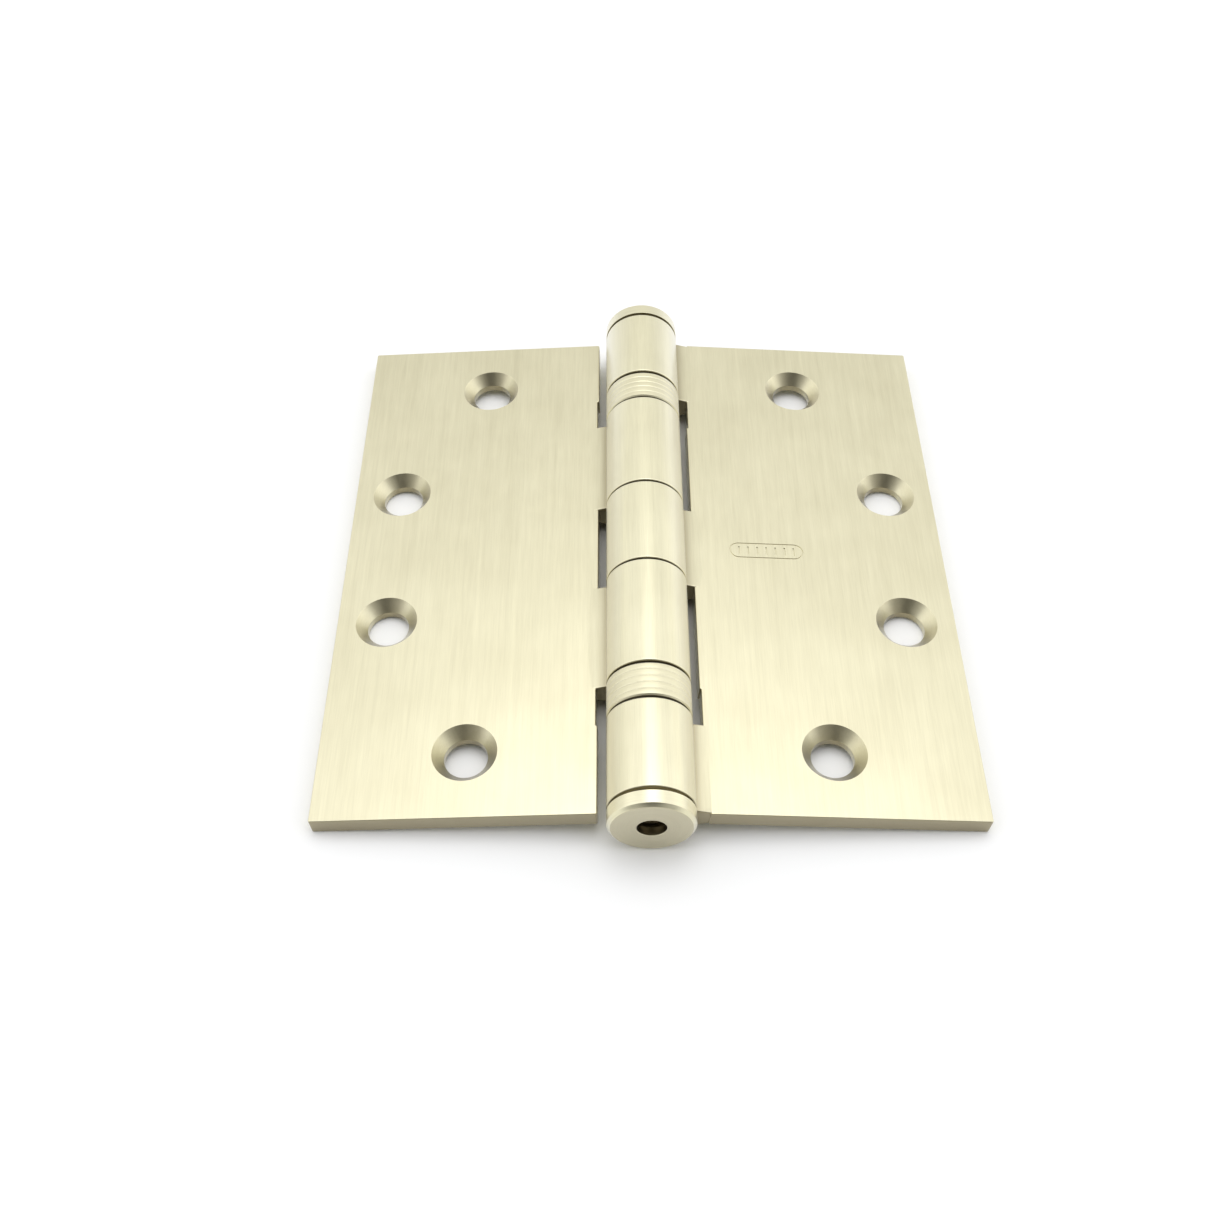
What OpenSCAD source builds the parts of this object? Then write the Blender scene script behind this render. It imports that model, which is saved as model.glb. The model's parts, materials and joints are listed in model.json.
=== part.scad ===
// Full-mortise butt hinge with five knuckles, two ball bearings and a lift-out pin.
// It lies open on a flat surface, countersunk faces up. The pin runs along Y, the frame leaf is on
// the +X side, and the origin is on the surface under the middle of the barrel. Sizes are in mm.

/* [Leaves] */
// Height of each leaf along the pin
leaf_h = 114.3; // [100:0.1:140]
// Width of each leaf, from the pin's axis to its outer edge
leaf_w = 57.15; // [50:0.05:80]
// Thickness of the plate that the leaves and their knuckles are rolled from
leaf_t = 3.4; // [2.8:0.05:4.2]
// Gap between the two leaves when the hinge is closed
closed_gap = 1.6; // [1:0.1:3]
// Gap between the barrel and the edge of the notch beside it
notch_gap = 1.57; // [1.2:0.01:2.5]
// Further gap at the part of a notch that is beside a bearing
bearing_notch_gap = 0.3; // [0.1:0.05:0.55]

/* [Root of the knuckles] */
// How far the pressed strip beside the barrel runs past the notch's edge into the leaf
strip_past = 0.93; // [0.6:0.01:2]
// How far that strip rises from the flat of the leaf to the barrel
strip_rise = 0.5; // [0:0.05:0.6]
// Gap where the rolled end of a knuckle comes round to its leaf
roll_seam = 0.15; // [0.1:0.05:0.4]

/* [Screw holes] */
// Diameter of the hole through the leaf
hole_d = 7.6; // [6:0.1:8]
// Diameter of the countersink at the leaf's face
csk_d = 11.34; // [9:0.02:12]
// Full angle of the countersink, in degrees
csk_angle = 82; // [80:1:100]
// Distance from the outer edge to the outer row of holes
outer_row = 9.15; // [7.5:0.05:12]
// Distance from the outer edge to the inner row of holes
inner_row = 25.4; // [20:0.05:32]
// Distance between the two holes of the outer row
outer_pair = 31.75; // [24:0.05:44]
// Distance from a leaf's end to the nearest hole of the inner row
end_margin = 12.7; // [9:0.05:18]

/* [Barrel] */
// Length of the middle knuckle
middle_knuckle = 18.8; // [14:0.1:24]
// Length of each knuckle on the door leaf
door_knuckle = 22.5; // [17:0.1:28]
// Gap between the middle knuckle and each door knuckle
knuckle_gap = 0.3; // [0.1:0.05:0.5]
// How far the barrel's ends stand back from the leaf's ends
barrel_setback = 0.2; // [0.1:0.05:1]
// Chamfer round the ends of the knuckles and the bearing cases
edge_chamfer = 0.25; // [0.1:0.05:0.4]

/* [Pin, tip and plug] */
// Diameter of the pin
pin_d = 7.94; // [6.6:0.01:9.6]
// Radial clearance of the pin in the knuckles
pin_play = 0.06; // [0.02:0.01:0.1]
// Length of the tip and of the plug beyond the leaf's ends
cap_l = 3.35; // [2.8:0.05:5]
// Chamfer round the outer face of the tip and the plug
cap_chamfer = 0.6; // [0.3:0.05:1]
// Depth of the relief groove between a cap and its knuckle
cap_relief = 0.9; // [0.4:0.05:1.5]
// Width of that groove
relief_w = 0.6; // [0.3:0.05:1]
// Length of the plug's spigot inside the bottom knuckle
spigot_l = 5; // [3:0.1:8]
// Diameter of the hole in the plug, for a punch that drives the pin out
punch_d = 5; // [3.5:0.1:5.5]
// Thickness of the plug's end wall round that hole
punch_wall = 1.6; // [1:0.1:1.9]
// Diameter of the pin's nose
nose_d = 5.4; // [5:0.1:5.8]
// Radial clearance round the nose inside the plug
nose_play = 0.3; // [0.1:0.05:0.4]
// Space between the nose and the plug's end wall
nose_gap = 0.35; // [0.2:0.05:1]
// Clearance of the parts that are pressed or staked into each other
press_play = 0.01; // [0.01:0.01:0.03]
// Diameter of the pin's stud inside the tip
stud_d = 4; // [3:0.1:5.5]
// Length of that stud
stud_l = 2.4; // [1.2:0.1:2.8]

/* [Ball bearings] */
// Length of each bearing
bearing_l = 7.6; // [6:0.1:9]
// Wall of the bearing's case
case_wall = 0.6; // [0.4:0.05:0.8]
// Radial clearance between the door leaf's race and the case
case_play = 0.05; // [0.02:0.01:0.1]
// Gap between the case and the door knuckle that turns beside it
case_gap = 0.4; // [0.1:0.05:0.6]
// Gap between the case and the frame knuckle behind it
case_seat = 0.5; // [0.1:0.05:0.8]
// Rim that each race keeps on both sides of its balls
race_rim = 0.185; // [0.15:0.005:0.3]
// Share of a ball's diameter that sinks into each race
groove_share = 0.3; // [0.2:0.01:0.38]
// Clearance between the balls and their grooves
ball_play = 0.02; // [0.01:0.01:0.05]
// Number of fine rings turned on each case
case_rings = 4; // [2:1:6]
// Depth of those rings
ring_depth = 0.08; // [0.05:0.01:0.2]
// Width of those rings
ring_w = 0.3; // [0.2:0.02:0.5]

/* [Maker's mark] */
// Distance from the pin's axis to the middle of the plain stamped panel
mark_u = 23.1; // [20:0.1:24]
// Length of the panel's outline
mark_l = 14.2; // [8:0.1:15]
// Height of the panel's outline
mark_h = 3.75; // [2.5:0.05:6]
// Width of the stamped lines
mark_line = 0.3; // [0.2:0.05:0.5]
// Depth of the stamped lines
mark_depth = 0.12; // [0.05:0.01:0.3]
// Number of plain bars inside the outline
mark_bars = 7; // [3:1:9]

/* [Hidden] */
$fn = 96;
over = 1;                // how far a cutting shape reaches past the surface it cuts
tangent_sink = 0.998;    // sinks the root's tangent point just under the barrel's surface

// Barrel
bore_r = pin_d / 2 + pin_play;
barrel_r = bore_r + leaf_t;
barrel_end = leaf_h / 2 - barrel_setback;
cap_end = leaf_h / 2 + cap_l;
middle_end = middle_knuckle / 2;
door_start = middle_end + knuckle_gap;
door_end = door_start + door_knuckle;
case_start = door_end + case_gap;
end_start = door_end + bearing_l;
case_end = end_start - case_seat;
FRAME_KNUCKLES = [[-barrel_end, -end_start], [-middle_end, middle_end], [end_start, barrel_end]];
DOOR_KNUCKLES = [[-door_end, -door_start], [door_start, door_end]];

// Section of a leaf, with the pin's axis at 0, 0 and the leaf along +X
face_n = -closed_gap / 2;
back_n = face_n - leaf_t;
notch_u = barrel_r + notch_gap;
strip_u = notch_u + strip_past;
seam_n = face_n + strip_rise;
root_dist = norm([strip_u, back_n]);
tangent_a = atan2(back_n, strip_u) - acos(barrel_r / root_dist);
tangent_dir = [cos(tangent_a), sin(tangent_a)];
chamfer_a = 360 + tangent_a;

// Slope at which the leaves rest, with the barrel and both outer edges on the surface
rest_slope = asin(barrel_r / norm([leaf_w, back_n])) - atan(-back_n / leaf_w);

// Screw holes, as [distance from the pin's axis, place along the pin]
csk_depth = (csk_d - hole_d) / 2 / tan(csk_angle / 2);
outer_u = leaf_w - outer_row;
inner_u = leaf_w - inner_row;
inner_v = leaf_h / 2 - end_margin;
HOLES = [
    for (side = [-1, 1]) [outer_u, side * outer_pair / 2],
    for (side = [-1, 1]) [inner_u, side * inner_v]
];

// Bearings
race_r = barrel_r - case_wall - case_play;
ball_d = race_r - bore_r - 2 * race_rim;
ball_pitch_r = (race_r + bore_r) / 2;
ball_step = 2 * asin((ball_d + ball_play) / 2 / ball_pitch_r);
ball_count = floor(360 / ball_step);
race_gap = ball_d * (1 - 2 * groove_share);
race_l = (bearing_l - race_gap) / 2;
ball_y = door_end + bearing_l / 2;
ring_step = (case_end - case_start) / (case_rings + 1);

// Pin, tip and plug
spigot_r = bore_r - press_play;
nose_tip = -cap_end + punch_wall + nose_gap;
nose_start = -barrel_end + spigot_l + nose_gap;
nose_chamfer = nose_d / 8;
shoulder = pin_d / 8;

BALLS = [for (i = [1:ball_count]) i];

NICKEL = [0.83, 0.79, 0.69];
STEEL = [0.62, 0.6, 0.56];
BALL_STEEL = [0.75, 0.76, 0.78];

// Lifts what is drawn round the pin's axis to the height at which the barrel rests
module at_pin() {
    translate([0, 0, barrel_r]) children();
}

// Turns a list of [radius, place along the pin] into a round piece
module turned(points) {
    rotate([-90, 0, 0]) rotate_extrude() polygon(points);
}

// Extrudes a section along the pin from y0 to y1
module along_pin(y0, y1) {
    translate([0, y1, 0]) rotate([90, 0, 0]) linear_extrude(y1 - y0) children();
}

// Section of a knuckle and its root, rolled from the plate
module knuckle_section() {
    difference() {
        union() {
            circle(r = barrel_r);
            polygon([
                [strip_u, face_n],
                [barrel_r, seam_n],
                [bore_r + leaf_t / 4, seam_n],
                tangent_dir * (barrel_r - leaf_t / 2),
                tangent_dir * barrel_r * tangent_sink,
                [strip_u, back_n]
            ]);
        }
        circle(r = bore_r);
        translate([bore_r / 2, seam_n]) square([barrel_r, roll_seam]);
    }
}

// Cuts the chamfer round the open side of a knuckle's end that faces +Y
module knuckle_chamfer() {
    rotate([90, 0, 0]) rotate_extrude(angle = chamfer_a) polygon([
        [barrel_r - edge_chamfer - over, -over],
        [barrel_r + over, -over],
        [barrel_r + over, edge_chamfer + over]
    ]);
}

module knuckle(y0, y1) {
    difference() {
        along_pin(y0, y1) knuckle_section();
        translate([0, y1, 0]) knuckle_chamfer();
        translate([0, y0, 0]) mirror([0, 1, 0]) knuckle_chamfer();
    }
}

module screw_hole() {
    translate([0, 0, back_n - over]) cylinder(h = leaf_t + 2 * over, d = hole_d);
    translate([0, 0, face_n - csk_depth]) cylinder(h = csk_depth, d1 = hole_d, d2 = csk_d);
    translate([0, 0, face_n]) cylinder(h = over, d = csk_d);
}

// Flat of a leaf, with its notch edge wider beside the bearings
module leaf_plate() {
    difference() {
        translate([notch_u, -leaf_h / 2, back_n]) cube([leaf_w - notch_u, leaf_h, leaf_t]);
        for (hole = HOLES) translate([hole[0], hole[1], 0]) screw_hole();
        for (y = [door_end, -end_start])
            translate([notch_u - over, y, back_n - over])
                cube([over + bearing_notch_gap, bearing_l, leaf_t + 2 * over]);
    }
}

// Plain stamped outline with round ends, and a row of plain bars in it
module makers_mark() {
    end_r = mark_h / 2;
    straight = mark_l - mark_h;
    pitch = straight / (mark_bars - 1);
    translate([mark_u, 0, face_n - mark_depth]) {
        for (side = [-1, 1]) {
            translate([-straight / 2, side * (end_r - mark_line / 2) - mark_line / 2, 0])
                cube([straight, mark_line, mark_depth + over]);
            translate([side * straight / 2, 0, 0]) rotate([0, 0, -side * 90])
                rotate_extrude(angle = 180) translate([end_r - mark_line, 0])
                    square([mark_line, mark_depth + over]);
        }
        for (i = [0:mark_bars - 1])
            translate([i * pitch - straight / 2 - mark_line / 2, -mark_h / 4, 0])
                cube([mark_line, mark_h / 2, mark_depth + over]);
    }
}

module leaf(knuckles) {
    leaf_plate();
    for (k = knuckles) knuckle(k[0], k[1]);
}

module frame_leaf() {
    color(NICKEL) at_pin() rotate([0, rest_slope, 0]) difference() {
        leaf(FRAME_KNUCKLES);
        makers_mark();
        for (y = [-barrel_end - over, barrel_end])
            translate([0, y, -2 * barrel_r]) cube([strip_u, over, 4 * barrel_r]);
    }
}

module door_leaf() {
    color(NICKEL) at_pin() mirror([1, 0, 0]) rotate([0, rest_slope, 0]) leaf(DOOR_KNUCKLES);
}

module hinge_pin() {
    color(STEEL) at_pin() turned([
        [0, nose_tip],
        [nose_d / 2 - nose_chamfer, nose_tip],
        [nose_d / 2, nose_tip + nose_chamfer],
        [nose_d / 2, nose_start],
        [pin_d / 2 - shoulder, nose_start],
        [pin_d / 2, nose_start + shoulder],
        [pin_d / 2, barrel_end],
        [stud_d / 2, barrel_end],
        [stud_d / 2, barrel_end + stud_l],
        [0, barrel_end + stud_l]
    ]);
}

// Outside of a cap, from its relief groove to its chamfered face, as [radius, distance out]
CAP_OUTLINE = [
    [barrel_r - cap_relief, 0],
    [barrel_r - cap_relief, relief_w],
    [barrel_r, relief_w],
    [barrel_r, barrel_setback + cap_l - cap_chamfer],
    [barrel_r - cap_chamfer, barrel_setback + cap_l]
];

module pin_tip() {
    socket_r = stud_d / 2 + press_play;
    outline = [for (p = CAP_OUTLINE) [p[0], barrel_end + p[1]]];
    color(NICKEL) at_pin() turned(concat(
        [[0, cap_end], [0, barrel_end + stud_l], [socket_r, barrel_end + stud_l], [socket_r, barrel_end]],
        outline
    ));
}

module bottom_plug() {
    outline = [for (p = CAP_OUTLINE) [p[0], -barrel_end - p[1]]];
    nose_room_r = nose_d / 2 + nose_play;
    color(NICKEL) at_pin() turned(concat(
        [
            [punch_d / 2, -cap_end],
            [punch_d / 2, punch_wall - cap_end],
            [nose_room_r, punch_wall - cap_end],
            [nose_room_r, spigot_l - barrel_end],
            [spigot_r, spigot_l - barrel_end],
            [spigot_r, -barrel_end]
        ],
        outline
    ));
}

// The pieces of a bearing are drawn for the upper one. The lower one is their mirror image.
// The case is pressed on the frame leaf's race, and has a little more room round the other one.
module bearing_case() {
    rings = [
        for (i = [1:case_rings])
            let (y = case_start + i * ring_step)
            each [[barrel_r, y - ring_w / 2], [barrel_r - ring_depth, y], [barrel_r, y + ring_w / 2]]
    ];
    color(NICKEL) at_pin() turned(concat(
        [
            [race_r + press_play, case_end],
            [race_r + press_play, ball_y],
            [barrel_r - case_wall, ball_y],
            [barrel_r - case_wall, case_start],
            [barrel_r - edge_chamfer, case_start],
            [barrel_r, case_start + edge_chamfer]
        ],
        rings,
        [[barrel_r, case_end - edge_chamfer], [barrel_r - edge_chamfer, case_end]]
    ));
}

// Race whose plain face is at y, with its groove towards the balls
module race(y, towards) {
    color(STEEL) at_pin() difference() {
        turned([
            [bore_r, y],
            [race_r, y],
            [race_r, y + towards * race_l],
            [bore_r, y + towards * race_l]
        ]);
        translate([0, ball_y, 0]) rotate([-90, 0, 0]) rotate_extrude()
            translate([ball_pitch_r, 0]) circle(d = ball_d + 2 * ball_play);
    }
}

module frame_race() {
    race(end_start, -1);
}

module door_race() {
    race(door_end, 1);
}

module ball(i) {
    angle = i * 360 / ball_count;
    color(BALL_STEEL) at_pin()
        translate([ball_pitch_r * cos(angle), ball_y, ball_pitch_r * sin(angle)]) sphere(d = ball_d);
}

module lower() {
    mirror([0, 1, 0]) children();
}

frame_leaf();
door_leaf();
hinge_pin();
pin_tip();
bottom_plug();
bearing_case();  // upper_bearing_case
frame_race();  // upper_frame_race
door_race();  // upper_door_race
lower() bearing_case();  // lower_bearing_case
lower() frame_race();  // lower_frame_race
lower() door_race();  // lower_door_race
for (i = BALLS) ball(i);
for (i = BALLS) lower() ball(i);
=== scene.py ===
# %% [markdown]
# # A ball-bearing butt hinge
# This lesson dresses a working hinge. The working model gives every size, every body and every joint.
# Here each visible piece is made again as a clean mesh with softly rounded edges, finished in satin
# nickel, and set on the body that carries it, so the hinge still swings and its pin still lifts out.

# %% Load the working model
import json
import math

import bmesh
import bpy
from mathutils import Matrix, Vector


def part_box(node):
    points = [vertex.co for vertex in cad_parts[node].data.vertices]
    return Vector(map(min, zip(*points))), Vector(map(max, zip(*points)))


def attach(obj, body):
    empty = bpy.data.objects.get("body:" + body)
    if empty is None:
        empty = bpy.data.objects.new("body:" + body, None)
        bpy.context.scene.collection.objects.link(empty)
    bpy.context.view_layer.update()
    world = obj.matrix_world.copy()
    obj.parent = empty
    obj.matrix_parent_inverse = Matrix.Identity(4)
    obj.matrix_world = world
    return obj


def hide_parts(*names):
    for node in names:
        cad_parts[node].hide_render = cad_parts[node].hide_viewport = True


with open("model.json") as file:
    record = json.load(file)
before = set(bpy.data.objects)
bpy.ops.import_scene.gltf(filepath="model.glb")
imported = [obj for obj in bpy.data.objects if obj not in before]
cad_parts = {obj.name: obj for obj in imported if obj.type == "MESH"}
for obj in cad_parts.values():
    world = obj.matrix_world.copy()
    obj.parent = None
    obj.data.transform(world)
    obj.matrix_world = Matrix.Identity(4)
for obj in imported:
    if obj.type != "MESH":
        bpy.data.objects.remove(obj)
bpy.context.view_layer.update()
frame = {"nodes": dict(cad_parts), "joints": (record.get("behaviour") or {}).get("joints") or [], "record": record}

# %% [markdown]
# ## Sizes
# Most sizes come from the working model. The pin's axis, the slope of the leaves and the places of the
# screw holes come from its joints and mounts, and most stations along the barrel come from the boxes of
# its parts. What those don't tell, such as the notches, the countersinks, the stamped panel and the
# rounded edges, has a named size here.

# %% The pin's axis and the plate that the leaves are rolled from
MM = 0.001
joints = {joint["name"]: joint for joint in frame["joints"]}
mounts = {mount["name"]: mount for mount in frame["record"]["mounts"]}

AXIS = Vector(joints["leaf_swing"]["pos_m"])
BARREL_R = AXIS.z
BACK = mounts["frame_leaf_back"]
UP = -Vector(BACK["axis"])
SLOPE = math.atan2(UP.x, UP.z)
BACK_N = (Vector(BACK["pos_m"]) - AXIS).dot(UP)
MIDDLE_N = (Vector(mounts["frame_leaf_inner_row"]["pos_m"]) - AXIS).dot(UP)
LEAF_T = 2 * (MIDDLE_N - BACK_N)
FACE_N = BACK_N + LEAF_T
HALF_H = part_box("frame_leaf")[1].y
LEAF_W = (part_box("frame_leaf")[1].x - FACE_N * math.sin(SLOPE)) / math.cos(SLOPE)
print(f"barrel {2 * BARREL_R / MM:.2f} mm across, leaf {LEAF_W / MM:.2f} x {2 * HALF_H / MM:.1f} mm")
print(f"plate {LEAF_T / MM:.2f} mm thick, leaves slope {math.degrees(SLOPE):.2f} degrees")

# %% Stations along the barrel
# The middle knuckle is 18.8 mm long and the gap beside it is 0.3 mm.
MIDDLE_END = 9.4 * MM
KNUCKLE_GAP = 0.3 * MM
PIN_PLAY = 0.06 * MM
DOOR_START = MIDDLE_END + KNUCKLE_GAP
DOOR_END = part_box("upper_door_race")[0].y
CASE_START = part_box("upper_bearing_case")[0].y
CASE_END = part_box("upper_bearing_case")[1].y
END_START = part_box("upper_frame_race")[1].y
BARREL_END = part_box("pin_tip")[0].y
CAP_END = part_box("pin_tip")[1].y
BORE_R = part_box("hinge_pin")[1].x + PIN_PLAY
FRAME_KNUCKLES = [(-BARREL_END, -END_START), (-MIDDLE_END, MIDDLE_END), (END_START, BARREL_END)]
DOOR_KNUCKLES = [(-DOOR_END, -DOOR_START), (DOOR_START, DOOR_END)]
print("barrel ends at", round(BARREL_END / MM, 2), "mm and its caps at", round(CAP_END / MM, 2), "mm")

# %% [markdown]
# ## Small tools for making solids
# A few helpers make every solid here. One rounds the corners of an outline, one extrudes an outline
# with rounded rims, one turns a profile on the pin's axis as a lathe does, and one cuts or joins
# solids. The rims are rounded while a solid is made, because the cuts leave very short edges that a
# bevel made afterwards couldn't get past.

# %% Outlines
ARC_STEP = math.radians(2.5)
NEARLY_STRAIGHT = math.radians(88)
LEAST_LEAN = 0.35


def arc(radius, start, end):
    """Points of an arc round 0, 0, from one angle to another."""
    count = math.ceil(abs(end - start) / ARC_STEP)
    angles = [start + (end - start) * i / count for i in range(count + 1)]
    return [radius * Vector((math.cos(a), math.sin(a))) for a in angles]


def rounded(corners, steps=4):
    """An outline from (x, y, radius), with an arc of that radius in place of each corner."""
    points = [Vector(corner[:2]) for corner in corners]
    made = []
    for i, point in enumerate(points):
        back = (points[i - 1] - point).normalized()
        ahead = (points[(i + 1) % len(points)] - point).normalized()
        half = back.angle(ahead) / 2
        radius = corners[i][2]
        if radius == 0 or half > NEARLY_STRAIGHT:
            made.append(point)
            continue
        centre = point + (back + ahead).normalized() * radius / math.sin(half)
        first = point + back * radius / math.tan(half) - centre
        last = point + ahead * radius / math.tan(half) - centre
        turn = -first.angle_signed(last)
        made += [centre + Matrix.Rotation(turn * k / steps, 2) @ first for k in range(steps + 1)]
    return made


def inset(points, amount):
    """The outline moved inwards by amount. It runs anticlockwise, so its inside is on its left."""
    made = []
    for i, point in enumerate(points):
        before = (point - points[i - 1]).normalized()
        after = (points[(i + 1) % len(points)] - point).normalized()
        left = Vector((-before.y - after.y, before.x + after.x)).normalized()
        lean = max(LEAST_LEAN, left.dot(Vector((-after.y, after.x))))
        made.append(point + left * amount / lean)
    return made


print("outline helpers ready")

# %% Solids
SAME_POINT = 1e-8


def solid(name, vertices, faces):
    """A closed mesh with its faces turned outwards and no doubled points."""
    mesh = bpy.data.meshes.new(name)
    mesh.from_pydata(vertices, [], faces)
    made = bmesh.new()
    made.from_mesh(mesh)
    bmesh.ops.remove_doubles(made, verts=made.verts, dist=SAME_POINT)
    bare_edges = [edge for edge in made.edges if not edge.link_faces]
    bmesh.ops.delete(made, geom=bare_edges, context="EDGES")
    bmesh.ops.recalc_face_normals(made, faces=made.faces)
    made.to_mesh(mesh)
    made.free()
    piece = bpy.data.objects.new(name, mesh)
    bpy.context.scene.collection.objects.link(piece)
    return piece


def skin(name, loops, round_trip=False):
    """A solid through loops of points, one after the other, with flat ends or back to the first."""
    count = len(loops[0])
    vertices = [point for loop in loops for point in loop]
    faces = []
    for row in range(len(loops) if round_trip else len(loops) - 1):
        low = row * count
        high = (row + 1) % len(loops) * count
        for i in range(count):
            j = (i + 1) % count
            faces.append((low + i, low + j, high + j, high + i))
    if not round_trip:
        faces.append(tuple(range(count)))
        faces.append(tuple(range(len(vertices) - count, len(vertices))))
    return solid(name, vertices, faces)


def slab(name, outline, low, high, rim, place, steps=4):
    """An outline extruded from low to high with rounded rims. place turns x, y, height into a point."""
    quarter = [math.pi / 2 * i / steps for i in range(steps + 1)]
    rims = [(rim * (1 - math.cos(a)), rim * (1 - math.sin(a))) for a in quarter]
    stations = [(low + depth, inward) for depth, inward in rims]
    stations += [(high - depth, inward) for depth, inward in reversed(rims)]
    return skin(name, [[place(p.x, p.y, h) for p in inset(outline, inward)] for h, inward in stations])


def turned(name, profile, segments=144):
    """A closed profile of (radius, place along the pin) turned round the pin's axis."""
    loops = []
    for i in range(segments):
        angle = 2 * math.pi * i / segments
        out = Vector((math.sin(angle), 0, math.cos(angle)))
        loops.append([AXIS + out * max(p.x, 0) + Vector((0, p.y, 0)) for p in profile])
    return skin(name, loops, round_trip=True)


def worked(piece, other, operation):
    """Cuts other from piece, or joins it to piece, and clears other away."""
    step = piece.modifiers.new("work", "BOOLEAN")
    step.object = other
    step.operation = operation
    step.solver = "MANIFOLD"
    graph = bpy.context.evaluated_depsgraph_get()
    made = bpy.data.meshes.new_from_object(piece.evaluated_get(graph))
    piece.modifiers.clear()
    piece.data = made
    bpy.data.objects.remove(other)
    return piece


print("solid helpers ready")

# %% [markdown]
# ## Soft shading
# Every piece is shaded smooth, and only edges sharper than a set angle stay crisp. Weighted normals
# keep the broad flats truly flat and let the small rounded rims carry all of the turn, which is what
# makes thick metal look thick.

# %% Shade a piece
CRISP = math.radians(34)
FLATTEST = 100


def shaded(piece):
    """Smooth shading that keeps crisp edges crisp and broad faces flat."""
    piece.data.shade_smooth()
    piece.data.set_sharp_from_angle(angle=CRISP)
    soften = piece.modifiers.new("flat faces stay flat", "WEIGHTED_NORMAL")
    soften.keep_sharp = True
    soften.weight = FLATTEST


print("edges sharper than", round(math.degrees(CRISP)), "degrees stay crisp")


def check_solid(piece):
    """Prints a piece's volume, and counts the edges where its skin isn't closed."""
    made = bmesh.new()
    made.from_mesh(piece.data)
    open_edges = sum(not edge.is_manifold for edge in made.edges)
    volume = made.calc_volume() / MM ** 3
    print(f"{piece.name}: {len(made.faces)} faces, {volume:.1f} mm3, {open_edges} open edges")
    made.free()


# %% [markdown]
# ## The leaves
# A leaf is stamped from thick plate. Its knuckles are tongues of the same plate rolled round the pin,
# and between them the plate is notched so that the other leaf's knuckles fit in. Beside each bearing
# the notch is a little wider. The two leaves lie open and slope down to their outer edges.

# %% Sizes of the root, the notches and the edges
NOTCH_U = BARREL_R + 1.57 * MM
BEARING_NOTCH_U = NOTCH_U + 0.3 * MM
STRIP_U = NOTCH_U + 0.93 * MM
SEAM_N = FACE_N + 0.5 * MM
SEAM_GAP = 0.15 * MM
BURIED = 0.8 * MM
PLATE_RIM = 0.2 * MM
KNUCKLE_RIM = 0.28 * MM
PLATE_CORNER = 0.35 * MM
INNER_CORNER = 0.14 * MM
ROLL_LIP = 0.3 * MM
BORE_LIP = 0.3 * MM


def on_leaf(side, u, v, n):
    """The point u from the pin across a leaf, v along the pin and n above the pin, on one side."""
    across = u * math.cos(SLOPE) + n * math.sin(SLOPE)
    return Vector((side * across, v, n * math.cos(SLOPE) - u * math.sin(SLOPE) + AXIS.z))


# %% The plate
def plate_outline(ends_cut):
    """The notched plate seen from its face. ends_cut leaves room for the root of the end knuckles."""
    near = [(NOTCH_U, HALF_H, PLATE_CORNER)]
    if ends_cut:
        inner_v = BARREL_END - BURIED
        near = [(STRIP_U, HALF_H, 0), (STRIP_U, inner_v, 0), (NOTCH_U, inner_v, 0)]
    near += [(NOTCH_U, END_START, 0), (BEARING_NOTCH_U, END_START, INNER_CORNER)]
    near += [(BEARING_NOTCH_U, DOOR_END, INNER_CORNER), (NOTCH_U, DOOR_END, 0)]
    far = [(LEAF_W, -HALF_H, PLATE_CORNER), (LEAF_W, HALF_H, PLATE_CORNER)]
    return rounded(far + near + [(u, -v, radius) for u, v, radius in reversed(near)])


def plate(side, ends_cut):
    """The bare plate of a leaf, with all of its edges slightly rounded."""
    outline = plate_outline(ends_cut)
    return slab("plate", outline, BACK_N, FACE_N, PLATE_RIM, lambda u, v, n: on_leaf(side, u, v, n))


def scored(piece, side, across, along):
    """Divides the faces of a leaf at these u and v, so that no face has to run right round a hole."""
    made = bmesh.new()
    made.from_mesh(piece.data)
    outwards = Vector((side * math.cos(SLOPE), 0, -math.sin(SLOPE)))
    cuts = [(on_leaf(side, u, 0, 0), outwards) for u in across]
    cuts += [(Vector((0, v, 0)), Vector((0, 1, 0))) for v in along]
    for point, normal in cuts:
        everything = made.verts[:] + made.edges[:] + made.faces[:]
        bmesh.ops.bisect_plane(made, geom=everything, dist=SAME_POINT, plane_co=point, plane_no=normal)
    made.to_mesh(piece.data)
    made.free()


# %% A rolled knuckle
def knuckle_outline():
    """The section of a knuckle: out of the plate, round the pin, and back to the seam."""
    root = Vector((STRIP_U, BACK_N))
    tangent = math.atan2(root.y, root.x) - math.acos(BARREL_R / root.length)
    touch = BARREL_R * Vector((math.cos(tangent), math.sin(tangent)))
    back_rise = (root.y - touch.y) / (root.x - touch.x)
    face_fall = (SEAM_N - FACE_N) / (STRIP_U - BARREL_R)
    lip_n = SEAM_N + SEAM_GAP
    outside = arc(BARREL_R, math.asin(lip_n / BARREL_R), 2 * math.pi + tangent)
    inside = arc(BORE_R, math.asin(SEAM_N / BORE_R), math.asin(lip_n / BORE_R) - 2 * math.pi)
    corners = [(outside[0].x, outside[0].y, ROLL_LIP)]
    corners += [(p.x, p.y, 0) for p in outside[1:]]
    corners += [(STRIP_U + BURIED, BACK_N + back_rise * BURIED, 0)]
    corners += [(STRIP_U + BURIED, FACE_N - face_fall * BURIED, 0)]
    corners += [(BARREL_R, SEAM_N, 0)]
    corners += [(inside[0].x, inside[0].y, BORE_LIP)]
    corners += [(p.x, p.y, 0) for p in inside[1:-1]]
    corners += [(inside[-1].x, inside[-1].y, BORE_LIP)]
    return rounded(corners)


def knuckle(side, start, end):
    """One knuckle, from start to end along the pin."""

    def place(u, n, v):
        return on_leaf(side, u, v, n)

    return slab("knuckle", knuckle_outline(), start, end, KNUCKLE_RIM, place)


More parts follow.
